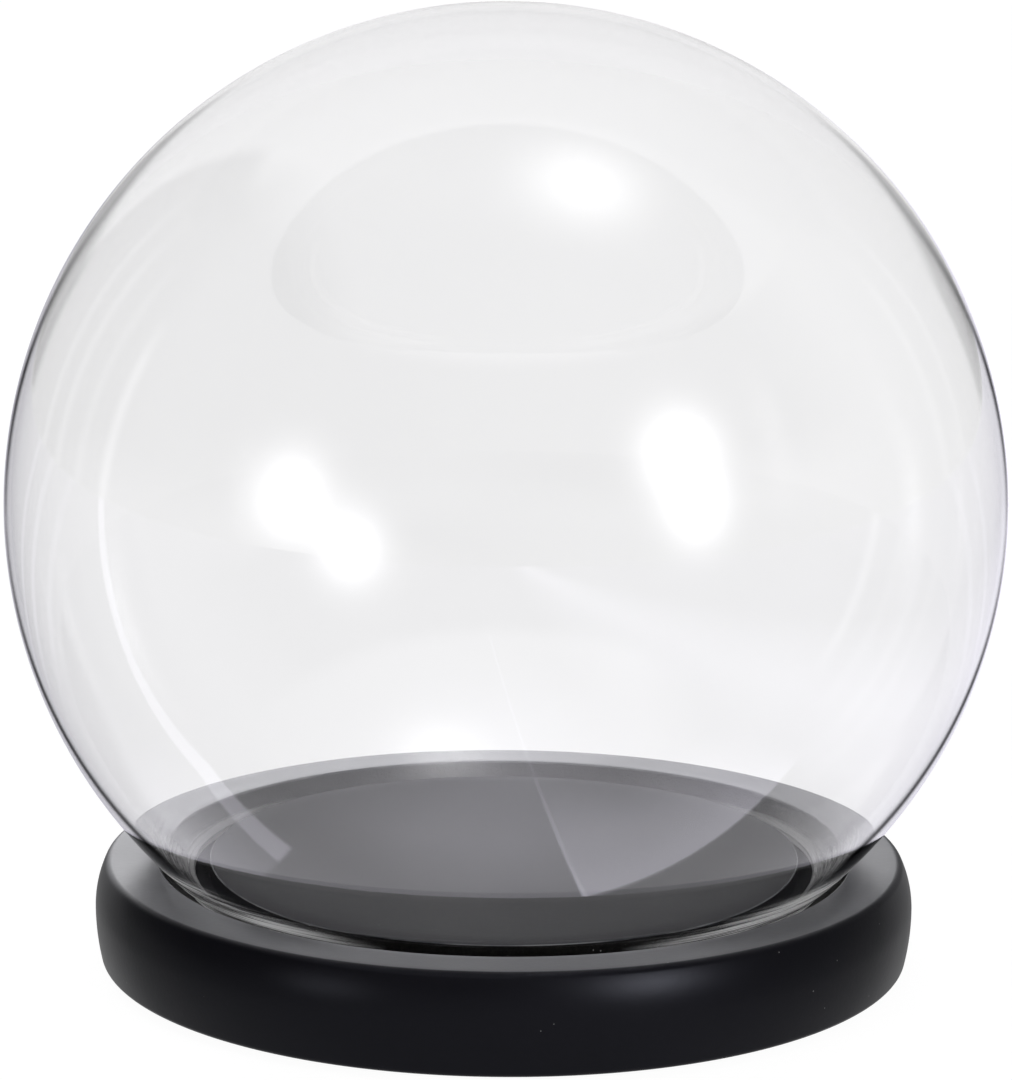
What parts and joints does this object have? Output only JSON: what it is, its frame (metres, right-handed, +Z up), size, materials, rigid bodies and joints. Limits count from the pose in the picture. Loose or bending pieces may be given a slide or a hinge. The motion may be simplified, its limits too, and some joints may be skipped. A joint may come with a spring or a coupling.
{
  "type": "bell jar dome",
  "caption": "Clear glass globe dome with an open mouth that stands in the felt-lined groove of a round black base with a raised display disc.",
  "frame": {"origin": "on the globe's axis, in the plane that the foot pads stand on", "axes": "+Z up along the globe's axis; the dome and base are round, and +X and +Y lie between the foot pads"},
  "size_m": [0.2, 0.2, 0.1943],
  "materials": {
    "dome_glass": "clear blown glass, fire-polished rim",
    "base_paint": "turned MDF, matt black spray paint with a faint orange-peel texture",
    "disc_paint": "MDF, matt black spray paint on the face, rougher on the cut edge",
    "liner_felt": "black wool-blend felt",
    "screw_steel": "bright zinc-plated steel",
    "pad_felt": "dense black felt, self-adhesive"
  },
  "bodies": {
    "base": {"base_body": "base_paint", "display_disc": "disc_paint", "groove_liner": "liner_felt", "disc_screws": "screw_steel", "foot_pad_1": "pad_felt", "foot_pad_2": "pad_felt", "foot_pad_3": "pad_felt", "foot_pad_4": "pad_felt"},
    "dome": {"glass_dome": "dome_glass"}
  },
  "joints": [
    {"name": "dome_lift", "type": "slide", "parent": "base", "child": "dome", "axis": [0, 0, 1], "range_m": [0, 0.2]}
  ]
}
